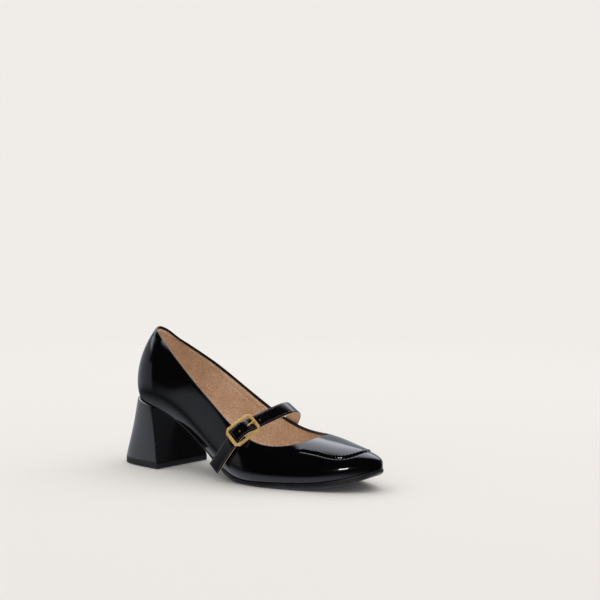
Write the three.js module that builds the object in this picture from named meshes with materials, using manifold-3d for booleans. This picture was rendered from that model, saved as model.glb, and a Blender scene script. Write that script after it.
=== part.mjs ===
// Right-foot mary jane pump with a block heel: hollow upper, outsole, insole, heel and buckled strap.
// Millimetres. +X to the toe, +Y to the inner (medial) side, -Y to the outer (lateral) side, +Z up.
// The origin is on the floor, at the middle of the heel's top piece.
import * as THREE from 'three';
import { mergeVertices } from 'three/addons/utils/BufferGeometryUtils.js';
import Module from 'manifold-3d';

const wasm = await Module();
wasm.setup();

// ---------------------------------------------------------------- driving sizes
const shoeLength = 240;          // back of the seat to the tip of the toe, along the feather line
const heelEnd = 30;              // length of the rounded heel end of the outline
const toeCentre = 192.5;         // where the toe's fan of sections starts, on the ridge
const ridgeEase = 0.4;           // how much of the ridge's slope is lost by the tip of the toe
const throatFront = 184.5;       // front of the collar's opening
const throatStart = 109.5;       // where the collar's two edges start to close in
const heelRoundness = 2.1;       // exponents of the outline's ends and of the collar's front
const collarRoundness = 1.7;
const toeRoundness = 2.4;
const throatRoundness = 2.4;
const sectionRoundness = 2.3;    // exponent of every cross-section
const counterLean = 15.5;        // how far the back leans forward at counterTop
const counterTop = 115;
const counterBulge = 1.4;        // how far the back swells behind the seat
const counterSwellPower = 2.2;
const counterLeanPower = 2;
const collarTaperLevel = 0.6;    // the level above which the heel end has the collar's roundness
const wallThickness = 1.8;       // leather and lining together
const gap = 0.3;                 // air between pieces that touch
const insoleThickness = 2.6;
const heelOriginX = 16;          // the origin, from the back of the seat

// Widths at stations along the last, from the back of the seat: half widths at the feather line,
// and how much wider the last is at the bulge above it.
const widthRows = [
  { x: 0, outerFoot: 21.5, innerFoot: 23, outerBulge: 2.2, innerBulge: 2.2 },
  { x: 10, outerFoot: 22.1, innerFoot: 23, outerBulge: 2.3, innerBulge: 2.3 },
  { x: 28, outerFoot: 22.8, innerFoot: 22.8, outerBulge: 2.5, innerBulge: 2.8 },
  { x: 44, outerFoot: 23.1, innerFoot: 22.1, outerBulge: 3.1, innerBulge: 3.9 },
  { x: 60, outerFoot: 23.6, innerFoot: 21, outerBulge: 4, innerBulge: 5.5 },
  { x: 95, outerFoot: 28.7, innerFoot: 20.2, outerBulge: 5.5, innerBulge: 8.5 },
  { x: 125, outerFoot: 37.2, innerFoot: 27.4, outerBulge: 4.1, innerBulge: 6.3 },
  { x: 150, outerFoot: 40.2, innerFoot: 34, outerBulge: 2.9, innerBulge: 3.2 },
  { x: 175, outerFoot: 36.6, innerFoot: 36.2, outerBulge: 2.2, innerBulge: 1.9 },
  { x: 200, outerFoot: 30, innerFoot: 30.5, outerBulge: 1.6, innerBulge: 1.4 },
  { x: 222, outerFoot: 22.8, innerFoot: 22.8, outerBulge: 0.6, innerBulge: 0.6 },
  { x: 240, outerFoot: 16, innerFoot: 16, outerBulge: 0, innerBulge: 0 },
];

// Heights at the same stations: feather line, bulge above it and ridge; and how far the collar's
// edges open from the ridge, in degrees.
const heightRows = [
  { x: 0, feather: 59, bulge: 12, ridge: 123, outerOpen: 25.6, innerOpen: 25.6 },
  { x: 10, feather: 57.2, bulge: 14, ridge: 119.2, outerOpen: 22, innerOpen: 23.5 },
  { x: 28, feather: 53, bulge: 17.2, ridge: 111.4, outerOpen: 20.6, innerOpen: 23.2 },
  { x: 44, feather: 47.7, bulge: 18.1, ridge: 106.8, outerOpen: 37.2, innerOpen: 38.8 },
  { x: 60, feather: 39.6, bulge: 18.5, ridge: 104.6, outerOpen: 52.6, innerOpen: 51 },
  { x: 95, feather: 17.4, bulge: 17, ridge: 94, outerOpen: 63.6, innerOpen: 60.8 },
  { x: 125, feather: 4.4, bulge: 12.8, ridge: 73.6, outerOpen: 64.6, innerOpen: 62 },
  { x: 150, feather: 3.9, bulge: 8.6, ridge: 53.4, outerOpen: 67, innerOpen: 62 },
  { x: 175, feather: 5.2, bulge: 6.8, ridge: 41.2, outerOpen: 68.5, innerOpen: 59.6 },
  { x: 200, feather: 7.4, bulge: 6.2, ridge: 35.8, outerOpen: 64, innerOpen: 59 },
  { x: 222, feather: 12.4, bulge: 5.2, ridge: 32.2, outerOpen: 60, innerOpen: 59 },
  { x: 240, feather: 18, bulge: 3.8, ridge: 29, outerOpen: 60, innerOpen: 59 },
];

// The outsole: how far its edge stands proud of the feather line, and its thickness.
const soleRows = [
  { x: 0, proud: -1.2, thickness: 1 },
  { x: 34, proud: -1.2, thickness: 1.1 },
  { x: 50, proud: -1.2, thickness: 2 },
  { x: 85, proud: -0.8, thickness: 2.6 },
  { x: 115, proud: 0.7, thickness: 3.3 },
  { x: 150, proud: 0.8, thickness: 3.8 },
  { x: 200, proud: 0.8, thickness: 4.6 },
  { x: 222, proud: 0.8, thickness: 5.4 },
  { x: 232, proud: 0.7, thickness: 4.8 },
  { x: 240, proud: 0.6, thickness: 2.8 },
];

// The heel: a D in plan, straight at the breast, at the seat and at the floor.
const heelSeat = { breastX: 28.4, middleY: 0.3, turn: -2.5, halfWidth: 23.4, depth: 29.4, roundness: 2.2 };
const heelFloor = { breastX: 41.8, middleY: 0, turn: -7.6, halfWidth: 29.8, depth: 53, roundness: 3.6 };
const topPieceHeight = 5;

// The strap is a flat band round a plane that leans back from the instep.
const strapMiddleX = 142.6;
const strapMiddleZ = 54;
const strapLean = THREE.MathUtils.degToRad(39);
const strapWidth = 11.7;
const strapThickness = 1.8;
const holeRadius = 1;
const holeSpacing = 7.5;

// Its middle line in that plane, from the free end on the outer side, through the buckle, over the
// instep and down the inner side: distance across the shoe, rise above the plane's middle.
const strapRows = [
  { across: -41.5, rise: -56 },
  { across: -42.8, rise: -44 },
  { across: -43.8, rise: -34 },
  { across: -44.3, rise: -26 },
  { across: -44.3, rise: -21 },
  { across: -44.4, rise: -17.4 },
  { across: -43.3, rise: -13.8 },
  { across: -40.9, rise: -10.7 },
  { across: -37.1, rise: -9.1 },
  { across: -33.2, rise: -8.5 },
  { across: -29.7, rise: -7.6 },
  { across: -26, rise: -6 },
  { across: -16, rise: -2.8 },
  { across: -1, rise: 1.7 },
  { across: 14.5, rise: 3 },
  { across: 25, rise: -2 },
  { across: 30.5, rise: -9.5 },
  { across: 34, rise: -20 },
  { across: 34.5, rise: -34 },
  { across: 32.8, rise: -48 },
  { across: 31, rise: -54 },
];

// How much the band twists to lie along the walls: sideways shift for each mm of width.
const twistRows = [
  { across: -60, twist: -0.12 },
  { across: -28, twist: -0.12 },
  { across: 0, twist: 0.02 },
  { across: 26, twist: 0.18 },
  { across: 60, twist: 0.18 },
];

// The short strip that holds the buckle: up the outer wall, over the bar and a little way down.
const chapeWidth = 8;
const chapeThickness = 0.8;
const chapeRows = [
  { across: -41.4, rise: -44 },
  { across: -41.9, rise: -36 },
  { across: -41.6, rise: -27 },
  { across: -40.4, rise: -19 },
  { across: -40.2, rise: -15 },
  { across: -40.1, rise: -13.2 },
  { across: -39.4, rise: -11.7 },
  { across: -38, rise: -11.6 },
  { across: -37.1, rise: -12.6 },
];

// The buckle, in the strap's plane: eight-sided frame with a middle bar and a prong.
const buckleMiddle = { across: -38.6, rise: -13 };
const buckleTilt = THREE.MathUtils.degToRad(46);
const buckleLength = 26.3;
const buckleWidth = 19;
const buckleCorner = 3.3;
const buckleHoleCorner = 0.8;
const buckleRim = 2.6;
const buckleThickness = 1.8;
const barRadius = 0.8;
const prongRadius = 0.7;
const prongEyeRadius = 1.9;
const prongEyeWidth = 1.6;
const prongSlotWidth = 2.4;
const prongShort = 0.4;          // how far the prong stops inside the frame's outer edge
const prongRun = 50.5;           // where the prong comes through, measured along the strap
const roundSteps = 12;           // sides of the bar, the prong and the drilled holes

const patentBlack = { color: 0x08080a, roughness: 0.08, metalness: 0 };
const soleBlack = { color: 0x141416, roughness: 0.55, metalness: 0 };
const liningTan = { color: 0xb58f6d, roughness: 0.85, metalness: 0 };
const brushedGold = { color: 0xc9a256, roughness: 0.3, metalness: 1 };

const group = new THREE.Group();
group.position.set(-heelOriginX, 0, 0);

function addPart(name, geometry, finish) {
  const mesh = new THREE.Mesh(geometry, new THREE.MeshStandardMaterial(finish));
  mesh.name = name;
  group.add(mesh);
}

// ---------------------------------------------------------------- curves through rows

// A natural cubic through rows[key] against rows[base]; beyond the ends it runs on as a cubic.
function splineThrough(rows, base, key) {
  const xs = rows.map((row) => row[base]);
  const ys = rows.map((row) => row[key]);
  const last = xs.length - 1;
  const bend = new Array(last + 1).fill(0);
  const carry = new Array(last + 1).fill(0);
  const share = new Array(last + 1).fill(0);
  for (let i = 1; i < last; i += 1) {
    const before = xs[i] - xs[i - 1];
    const after = xs[i + 1] - xs[i];
    const pivot = 2 * (before + after) - before * share[i - 1];
    share[i] = after / pivot;
    const kink = (ys[i + 1] - ys[i]) / after - (ys[i] - ys[i - 1]) / before;
    carry[i] = (6 * kink - before * carry[i - 1]) / pivot;
  }
  for (let i = last - 1; i > 0; i -= 1) {
    bend[i] = carry[i] - share[i] * bend[i + 1];
  }
  return (x) => {
    let i = 0;
    while (i < last - 1 && x > xs[i + 1]) {
      i += 1;
    }
    const width = xs[i + 1] - xs[i];
    const b = (x - xs[i]) / width;
    const a = 1 - b;
    const cubic = ((a ** 3 - a) * bend[i] + (b ** 3 - b) * bend[i + 1]) * width * width / 6;
    return a * ys[i] + b * ys[i + 1] + cubic;
  };
}

// Straight runs between rows, level beyond the ends.
function lineThrough(rows, base, key) {
  return (x) => {
    const last = rows.length - 1;
    if (x <= rows[0][base]) {
      return rows[0][key];
    }
    if (x >= rows[last][base]) {
      return rows[last][key];
    }
    const i = rows.findIndex((row) => row[base] > x) - 1;
    const share = (x - rows[i][base]) / (rows[i + 1][base] - rows[i][base]);
    return rows[i][key] + share * (rows[i + 1][key] - rows[i][key]);
  };
}

// ---------------------------------------------------------------- the last

const clamp = THREE.MathUtils.clamp;
const outer = {
  sign: -1,
  foot: splineThrough(widthRows, 'x', 'outerFoot'),
  bulge: splineThrough(widthRows, 'x', 'outerBulge'),
  open: splineThrough(heightRows, 'x', 'outerOpen'),
};
const inner = {
  sign: 1,
  foot: splineThrough(widthRows, 'x', 'innerFoot'),
  bulge: splineThrough(widthRows, 'x', 'innerBulge'),
  open: splineThrough(heightRows, 'x', 'innerOpen'),
};
const featherHeight = splineThrough(heightRows, 'x', 'feather');
const bulgeRise = splineThrough(heightRows, 'x', 'bulge');
const ridgeHeight = splineThrough(heightRows, 'x', 'ridge');
const ridgeSlope = ridgeHeight(toeCentre + 0.5) - ridgeHeight(toeCentre - 0.5);
const seatHeight = featherHeight(0);
const seatBulge = bulgeRise(0);

// A quarter superellipse: 1 at 0, 0 at 1.
const quarter = (share, roundness) => (1 - clamp(share, 0, 1) ** roundness) ** (1 / roundness);

// How much the outline has closed in at its two ends; the collar is more pointed than the seat.
function endTaper(x, level) {
  const toCollar = clamp(level / collarTaperLevel, 0, 1);
  const heelBend = heelRoundness + (collarRoundness - heelRoundness) * toCollar;
  return quarter((x - toeCentre) / (shoeLength - toeCentre), toeRoundness)
    * quarter((heelEnd - x) / heelEnd, heelBend);
}

// The counter's profile: swells behind the seat, then leans forward to the collar.
function backReach(z) {
  const widest = seatHeight + seatBulge;
  const below = clamp((widest - z) / seatBulge, 0, 1);
  const above = Math.max(0, (z - widest) / (counterTop - widest));
  const swell = counterBulge * (1 - below ** counterSwellPower);
  const lean = counterLean * above ** counterLeanPower;
  return (heelEnd + swell - lean) / heelEnd;
}

// A point on the outside of the last. level runs from -1 at the feather line, through 0 at the
// widest point, to 1 on the ridge.
function wallPoint(x, side, level) {
  const foot = side.foot(x);
  const bulge = side.bulge(x);
  const low = clamp(-level, 0, 1) ** sectionRoundness;
  const turn = clamp(level, 0, 1) * Math.PI / 2;
  const inward = Math.cos(turn) ** (2 / sectionRoundness);
  const upward = Math.sin(turn) ** (2 / sectionRoundness);
  const half = level < 0 ? foot + bulge * (1 - low) : (foot + bulge) * inward;
  const widest = featherHeight(x) + bulgeRise(x);
  const ridge = ridgeHeight(Math.min(x, toeCentre));
  let z = level < 0
    ? featherHeight(x) + bulgeRise(x) * (1 - clamp(-level, 0, 1))
    : widest + (ridge - widest) * upward;
  let along = x;
  if (x < heelEnd) {
    along = heelEnd - (heelEnd - x) * backReach(z);
  }
  if (x > toeCentre) {
    const reach = level < 0 ? 1 : inward;
    along = toeCentre + (x - toeCentre) * reach;
    const run = along - toeCentre;
    z += ridgeSlope * run * (1 - ridgeEase * run / (shoeLength - toeCentre)) * upward;
  }
  const y = side.sign * half * endTaper(x, level);
  return new THREE.Vector3(along, Math.abs(y) < 1e-6 ? 0 : y, z);
}

// The level at which the collar's edge cuts each station; 1 from the throat forward.
function collarLevel(x, side) {
  if (x >= throatFront) {
    return 1;
  }
  const shut = quarter((x - throatStart) / (throatFront - throatStart), throatRoundness);
  return 1 - side.open(x) * shut / 90;
}

// Stations from the seat to the tip, closer together where the outline or the collar turns.
function stations(heelSteps, waistSteps, throatSteps, toeSteps) {
  const list = [];
  for (let i = 0; i < heelSteps; i += 1) {
    list.push(heelEnd - heelEnd * Math.cos(i / heelSteps * Math.PI / 2) ** (2 / heelRoundness));
  }
  for (let i = 0; i < waistSteps; i += 1) {
    list.push(heelEnd + (throatStart - heelEnd) * i / waistSteps);
  }
  for (let i = 0; i < throatSteps; i += 1) {
    const turn = i / throatSteps * Math.PI / 2;
    list.push(throatStart + (throatFront - throatStart) * Math.sin(turn) ** (2 / throatRoundness));
  }
  list.push(throatFront);
  for (let i = 0; i <= toeSteps; i += 1) {
    const turn = i / toeSteps * Math.PI / 2;
    list.push(toeCentre + (shoeLength - toeCentre) * Math.sin(turn) ** (2 / toeRoundness));
  }
  return list;
}

// ---------------------------------------------------------------- meshes

const samePlace = 1e-4;

// Triangles of a grid of points, without the ones that fold to nothing at a pole.
function gridTriangles(grid, flipped) {
  const corners = [];
  const push = (a, b, c) => {
    const shortest = Math.min(a.distanceTo(b), b.distanceTo(c), c.distanceTo(a));
    if (shortest > samePlace) {
      corners.push(...(flipped ? [a, c, b] : [a, b, c]));
    }
  };
  for (let i = 0; i + 1 < grid.length; i += 1) {
    for (let j = 0; j + 1 < grid[i].length; j += 1) {
      push(grid[i][j], grid[i + 1][j], grid[i + 1][j + 1]);
      push(grid[i][j], grid[i + 1][j + 1], grid[i][j + 1]);
    }
  }
  return corners;
}

function geometryOf(corners) {
  const soup = new THREE.BufferGeometry().setFromPoints(corners);
  return mergeVertices(soup, 1e-3);
}

// Closes an open surface into a solid: the same surface moved by shift(point, normal), and a rim
// along every free edge.
function thicken(surface, shift) {
  surface.computeVertexNormals();
  const points = [];
  const moved = [];
  for (let i = 0; i < surface.attributes.position.count; i += 1) {
    const point = new THREE.Vector3().fromBufferAttribute(surface.attributes.position, i);
    const normal = new THREE.Vector3().fromBufferAttribute(surface.attributes.normal, i);
    points.push(point);
    moved.push(shift(point, normal));
  }
  const index = Array.from(surface.index.array);
  const used = new Set();
  for (let i = 0; i < index.length; i += 3) {
    for (let k = 0; k < 3; k += 1) {
      used.add(`${index[i + k]},${index[i + (k + 1) % 3]}`);
    }
  }
  const corners = [];
  for (let i = 0; i < index.length; i += 3) {
    const [a, b, c] = index.slice(i, i + 3);
    corners.push(points[a], points[b], points[c], moved[c], moved[b], moved[a]);
    for (let k = 0; k < 3; k += 1) {
      const from = index[i + k];
      const to = index[i + (k + 1) % 3];
      if (!used.has(`${to},${from}`)) {
        corners.push(points[from], moved[from], moved[to], points[from], moved[to], points[to]);
      }
    }
  }
  return geometryOf(corners);
}

// ---------------------------------------------------------------- upper

function makeUpper() {
  const lowSteps = 3;
  const highSteps = 6;
  const onFeather = 0.05;
  const xs = stations(7, 10, 11, 8);
  const corners = [];
  for (const side of [outer, inner]) {
    const grid = xs.map((x) => {
      const column = [];
      for (let j = -lowSteps; j <= highSteps; j += 1) {
        const level = j < 0 ? j / lowSteps : collarLevel(x, side) * j / highSteps;
        column.push(wallPoint(x, side, level));
      }
      return column;
    });
    corners.push(...gridTriangles(grid, side === inner));
  }
  return thicken(geometryOf(corners), (point, normal) => {
    const height = point.z - featherHeight(clamp(point.x, 0, shoeLength));
    const level = new THREE.Vector3(normal.x, normal.y, 0).normalize();
    return point.clone().addScaledVector(height < onFeather ? level : normal, -wallThickness);
  });
}

// ---------------------------------------------------------------- outsole and insole

// Both edges of the last at level(x), moved out by proud(x) along the outline's normal.
function edgeLoop(xs, level, proud) {
  const edge = (side) => xs.map((x) => wallPoint(x, side, level(x)));
  const sides = [edge(outer), edge(inner)];
  return sides.map((points, which) => points.map((point, i) => {
    const other = sides[1 - which];
    const last = points.length - 1;
    const before = i > 0 ? points[i - 1] : other[1];
    const after = i < last ? points[i + 1] : other[last - 1];
    const normal = new THREE.Vector3(after.y - before.y, before.x - after.x, 0).normalize();
    if (which === 1) {
      normal.negate();
    }
    const moved = point.clone().addScaledVector(normal, proud(xs[i]));
    if (i === 0 || i === last) {
      moved.y = 0;
    }
    return moved;
  }));
}

const featherLevel = () => -1;

// A slab between two edges; the heights give its top and bottom along the last.
function makeSlab(xs, topEdges, bottomEdges, topHeight, bottomHeight) {
  const acrossSteps = 6;
  const sheet = ([left, right], height) => xs.map((x, i) => {
    const row = [];
    for (let j = 0; j <= acrossSteps; j += 1) {
      const point = left[i].clone().lerp(right[i], j / acrossSteps);
      row.push(new THREE.Vector3(point.x, point.y, height(x)));
    }
    return row;
  });
  const top = sheet(topEdges, topHeight);
  const bottom = sheet(bottomEdges, bottomHeight);
  const corners = gridTriangles(top, false);
  corners.push(...gridTriangles(bottom, true));
  const leftSide = xs.map((x, i) => [bottom[i][0], top[i][0]]);
  const rightSide = xs.map((x, i) => [bottom[i][acrossSteps], top[i][acrossSteps]]);
  corners.push(...gridTriangles(leftSide, false));
  corners.push(...gridTriangles(rightSide, true));
  return geometryOf(corners);
}

function makeOutsole() {
  const proud = splineThrough(soleRows, 'x', 'proud');
  const thickness = splineThrough(soleRows, 'x', 'thickness');
  const edgeBevel = 0.6;
  const xs = stations(8, 12, 12, 9);
  const top = (x) => featherHeight(x) - gap;
  const bottom = (x) => Math.max(0, top(x) - thickness(x));
  const topEdges = edgeLoop(xs, featherLevel, proud);
  const bottomEdges = edgeLoop(xs, featherLevel, (x) => proud(x) - edgeBevel);
  return makeSlab(xs, topEdges, bottomEdges, top, bottom);
}

function makeInsole() {
  const xs = stations(8, 12, 12, 9);
  const clearance = () => -(wallThickness + 2 * gap);
  const topClearance = () => -(wallThickness + 3 * gap);
  const topLevel = (x) => insoleThickness / bulgeRise(x) - 1;
  const topEdges = edgeLoop(xs, topLevel, topClearance);
  const bottomEdges = edgeLoop(xs, featherLevel, clearance);
  const top = (x) => featherHeight(x) + insoleThickness;
  return makeSlab(xs, topEdges, bottomEdges, top, featherHeight);
}

// ---------------------------------------------------------------- heel

// One ring of the heel's D: the round back, then the straight breast.
function heelRing(plan, heightAt) {
  const backSteps = 24;
  const breastSteps = 6;
  const turn = THREE.MathUtils.degToRad(plan.turn);
  const ring = [];
  const place = (back, across) => {
    const x = plan.breastX - back * Math.cos(turn) - across * Math.sin(turn);
    const y = plan.middleY - back * Math.sin(turn) + across * Math.cos(turn);
    ring.push(new THREE.Vector3(x, y, heightAt(x)));
  };
  for (let i = 0; i <= backSteps; i += 1) {
    const angle = (i / backSteps - 0.5) * Math.PI;
    const across = Math.sign(angle) * Math.abs(Math.sin(angle)) ** (2 / plan.roundness);
    const back = Math.max(Math.cos(angle), 0) ** (2 / plan.roundness);
    place(plan.depth * back, plan.halfWidth * across);
  }
  for (let i = 1; i < breastSteps; i += 1) {
    place(0, plan.halfWidth * (1 - 2 * i / breastSteps));
  }
  return ring;
}

// A closed solid between rings of the same count, from the bottom up, with a fan at each end.
function makeLoft(rings) {
  const middle = (ring) => {
    const sum = ring.reduce((total, point) => total.add(point), new THREE.Vector3());
    return sum.divideScalar(ring.length);
  };
  const closed = (ring) => [...ring, ring[0]];
  const last = rings[rings.length - 1];
  const columns = [
    closed(rings[0]).map(() => middle(rings[0])),
    ...rings.map(closed),
    closed(last).map(() => middle(last)),
  ];
  return geometryOf(gridTriangles(columns, false));
}

function makeHeelBlock() {
  const bottom = heelRing(heelFloor, () => topPieceHeight + gap / 2);
  const seatAt = (x) => featherHeight(clamp(x, 0, shoeLength)) - 2 * gap - soleRows[1].thickness;
  const top = heelRing(heelSeat, seatAt);
  const rings = [0, 0.25, 0.5, 0.75, 1].map((share) => bottom.map((point, i) => {
    return point.clone().lerp(top[i], share);
  }));
  return makeLoft(rings);
}

function makeTopPiece() {
  const lowest = heelRing(heelFloor, () => 0);
  const highest = heelRing(heelFloor, () => topPieceHeight - gap / 2);
  return makeLoft([lowest, highest]);
}

// ---------------------------------------------------------------- strap and buckle

const twistAt = lineThrough(twistRows, 'across', 'twist');

// From the strap's plane to the shoe: across, rise, and side, the distance from the band's middle
// towards the toe.
function fromStrapPlane(across, rise, side) {
  return new THREE.Vector3(
    strapMiddleX + rise * Math.sin(strapLean) + side * Math.cos(strapLean),
    across + twistAt(across) * side,
    strapMiddleZ + rise * Math.cos(strapLean) - side * Math.sin(strapLean),
  );
}

// A smooth middle line through rows, as evenly spaced points with their normals.
function middleLine(rows, steps) {
  const measured = rows.map((row) => ({ ...row, run: 0 }));
  for (let i = 1; i < rows.length; i += 1) {
    const step = Math.hypot(rows[i].across - rows[i - 1].across, rows[i].rise - rows[i - 1].rise);
    measured[i].run = measured[i - 1].run + step;
  }
  const across = splineThrough(measured, 'run', 'across');
  const rise = splineThrough(measured, 'run', 'rise');
  const length = measured[measured.length - 1].run;
  const at = (run) => {
    const small = 0.01;
    const alongAcross = across(run + small) - across(run - small);
    const alongRise = rise(run + small) - rise(run - small);
    const size = Math.hypot(alongAcross, alongRise);
    const normal = { across: -alongRise / size, rise: alongAcross / size };
    return { across: across(run), rise: rise(run), normal };
  };
  const points = [];
  for (let i = 0; i <= steps; i += 1) {
    points.push(at(length * i / steps));
  }
  return { points, at };
}

// A flat band of even thickness along a middle line, with its ends cut square.
function makeBand(line, width, thickness) {
  const corner = (point, off, side) => {
    const across = point.across + off * point.normal.across;
    const rise = point.rise + off * point.normal.rise;
    return fromStrapPlane(across, rise, side);
  };
  const sides = [-width / 2, 0, width / 2];
  const around = (point) => {
    const over = sides.map((side) => corner(point, thickness / 2, side));
    const under = sides.map((side) => corner(point, -thickness / 2, side));
    return [...over, ...under.reverse(), over[0]];
  };
  const rings = line.points.map(around);
  const corners = gridTriangles(rings, true);
  for (const [ring, flipped] of [[rings[0], false], [rings[rings.length - 1], true]]) {
    const cap = [[ring[0], ring[1], ring[2]], [ring[5], ring[4], ring[3]]];
    corners.push(...gridTriangles(cap, flipped));
  }
  return geometryOf(corners);
}

// From the buckle's own axes, along the strap, out of the frame and towards the toe, to the shoe.
function fromBuckle(along, out, side) {
  const across = buckleMiddle.across + along * Math.sin(buckleTilt) - out * Math.cos(buckleTilt);
  const rise = buckleMiddle.rise + along * Math.cos(buckleTilt) + out * Math.sin(buckleTilt);
  return fromStrapPlane(across, rise, side);
}

// Moves every vertex of a geometry drawn in the buckle's axes to its place.
function setInBuckle(geometry) {
  const position = geometry.attributes.position;
  for (let i = 0; i < position.count; i += 1) {
    const placed = fromBuckle(position.getX(i), position.getY(i), position.getZ(i));
    position.setXYZ(i, placed.x, placed.y, placed.z);
  }
  return geometry;
}

function solidOf(geometry) {
  const bare = geometry.clone();
  bare.deleteAttribute('normal');
  bare.deleteAttribute('uv');
  const merged = mergeVertices(bare, 1e-4);
  return new wasm.Manifold(new wasm.Mesh({
    numProp: 3,
    vertProperties: new Float32Array(merged.attributes.position.array),
    triVerts: new Uint32Array(merged.index.array),
  }));
}

function geometryFrom(solid) {
  const mesh = solid.getMesh();
  const geometry = new THREE.BufferGeometry();
  geometry.setAttribute('position', new THREE.BufferAttribute(mesh.vertProperties, 3));
  geometry.setIndex(new THREE.BufferAttribute(mesh.triVerts, 1));
  return geometry;
}

function cornerCutShape(length, width, corner) {
  const shape = new THREE.Shape();
  shape.moveTo(-length / 2 + corner, -width / 2);
  shape.lineTo(length / 2 - corner, -width / 2);
  shape.lineTo(length / 2, -width / 2 + corner);
  shape.lineTo(length / 2, width / 2 - corner);
  shape.lineTo(length / 2 - corner, width / 2);
  shape.lineTo(-length / 2 + corner, width / 2);
  shape.lineTo(-length / 2, width / 2 - corner);
  shape.lineTo(-length / 2, -width / 2 + corner);
  shape.closePath();
  return shape;
}

// The frame is drawn flat, then turned so that its thickness is the buckle's outward axis.
function makeBuckleFrame() {
  const rim = cornerCutShape(buckleLength, buckleWidth, buckleCorner);
  const holeLength = buckleLength - 2 * buckleRim;
  const holeWidth = buckleWidth - 2 * buckleRim;
  rim.holes.push(cornerCutShape(holeLength, holeWidth, buckleHoleCorner));
  const frame = new THREE.ExtrudeGeometry(rim, { depth: buckleThickness, bevelEnabled: false });
  frame.rotateX(Math.PI / 2);
  frame.translate(0, buckleThickness / 2, 0);
  const bar = new THREE.CylinderGeometry(barRadius, barRadius, buckleWidth - buckleRim, roundSteps);
  bar.rotateX(Math.PI / 2);
  const solid = solidOf(frame).add(solidOf(bar));
  return setInBuckle(geometryFrom(solid));
}

// A rod between two points given as [along, out] in the buckle's axes.
function makeRod([fromAlong, fromOut], [toAlong, toOut], radius) {
  const length = Math.hypot(toAlong - fromAlong, toOut - fromOut);
  const rod = new THREE.CylinderGeometry(radius, radius, length, roundSteps);
  rod.rotateZ(Math.atan2(toOut - fromOut, toAlong - fromAlong) - Math.PI / 2);
  rod.translate((fromAlong + toAlong) / 2, (fromOut + toOut) / 2, 0);
  return rod;
}

const prongRoot = [1, 1.6];
const prongTip = [buckleLength / 2 - prongShort, buckleThickness / 2 + gap + prongRadius];

function makeProng() {
  const eye = new THREE.Shape();
  eye.absarc(0, 0, prongEyeRadius, 0, Math.PI * 2);
  const eyeHole = new THREE.Path();
  eyeHole.absarc(0, 0, barRadius + gap, 0, Math.PI * 2, true);
  eye.holes.push(eyeHole);
  const extrusion = { depth: prongEyeWidth, bevelEnabled: false, curveSegments: roundSteps };
  const ring = new THREE.ExtrudeGeometry(eye, extrusion);
  ring.translate(0, 0, -prongEyeWidth / 2);
  const solid = solidOf(ring).add(solidOf(makeRod(prongRoot, prongTip, prongRadius)));
  return setInBuckle(geometryFrom(solid));
}

// A drill in the strap's plane, straight through the band at one place on its middle line.
function strapDrill(point) {
  const drill = new THREE.CylinderGeometry(holeRadius, holeRadius, 4 * strapThickness, roundSteps);
  const turn = Math.atan2(point.normal.rise, point.normal.across) - Math.PI / 2;
  drill.rotateZ(turn);
  const position = drill.attributes.position;
  for (let i = 0; i < position.count; i += 1) {
    const across = point.across + position.getX(i);
    const rise = point.rise + position.getY(i);
    const placed = fromStrapPlane(across, rise, position.getZ(i));
    position.setXYZ(i, placed.x, placed.y, placed.z);
  }
  return solidOf(drill);
}

function makeStrap() {
  const line = middleLine(strapRows, 84);
  let solid = solidOf(makeBand(line, strapWidth, strapThickness));
  for (const step of [-1, 1, 2]) {
    solid = solid.subtract(strapDrill(line.at(prongRun + step * holeSpacing)));
  }
  const prongWay = makeRod([0, prongRoot[1]], prongTip, prongRadius + gap);
  solid = solid.subtract(solidOf(setInBuckle(prongWay)));
  return geometryFrom(solid);
}

function makeChape() {
  const line = middleLine(chapeRows, 44);
  const band = solidOf(makeBand(line, chapeWidth, chapeThickness));
  const slotLength = 4 * prongEyeRadius;
  const slot = new THREE.BoxGeometry(slotLength, slotLength, prongSlotWidth);
  return geometryFrom(band.subtract(solidOf(setInBuckle(slot))));
}

addPart('upper', makeUpper(), patentBlack);
addPart('outsole', makeOutsole(), soleBlack);
addPart('insole', makeInsole(), liningTan);
addPart('heel_block', makeHeelBlock(), patentBlack);
addPart('heel_top_piece', makeTopPiece(), soleBlack);
addPart('strap', makeStrap(), patentBlack);
addPart('buckle_chape', makeChape(), patentBlack);
addPart('buckle_frame', makeBuckleFrame(), brushedGold);
addPart('buckle_prong', makeProng(), brushedGold);

export default group;
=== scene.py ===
import math

import bmesh
import bpy
import numpy as np
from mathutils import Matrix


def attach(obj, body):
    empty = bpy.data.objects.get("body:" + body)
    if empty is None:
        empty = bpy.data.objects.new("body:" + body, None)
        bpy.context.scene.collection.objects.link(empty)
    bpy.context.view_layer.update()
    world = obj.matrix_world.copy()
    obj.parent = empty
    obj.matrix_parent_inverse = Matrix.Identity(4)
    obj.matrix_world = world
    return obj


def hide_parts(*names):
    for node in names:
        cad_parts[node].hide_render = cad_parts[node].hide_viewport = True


# A right-foot mary jane pump in black patent leather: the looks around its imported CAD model.
# Shapes are worked out in millimetres, +X to the toe from the back of the seat, +Y to the inner side.

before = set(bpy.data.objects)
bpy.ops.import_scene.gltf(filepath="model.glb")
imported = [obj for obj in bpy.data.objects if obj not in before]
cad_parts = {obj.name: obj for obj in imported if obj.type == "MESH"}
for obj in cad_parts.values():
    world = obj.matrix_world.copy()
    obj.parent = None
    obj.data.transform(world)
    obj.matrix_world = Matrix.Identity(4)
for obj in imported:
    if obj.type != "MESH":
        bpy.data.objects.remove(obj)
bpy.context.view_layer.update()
print("frame loaded:", ", ".join(sorted(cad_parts)))

millimetre = 0.001
originX = 16.0    # the frame's origin, from the back of the seat

# curves


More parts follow.
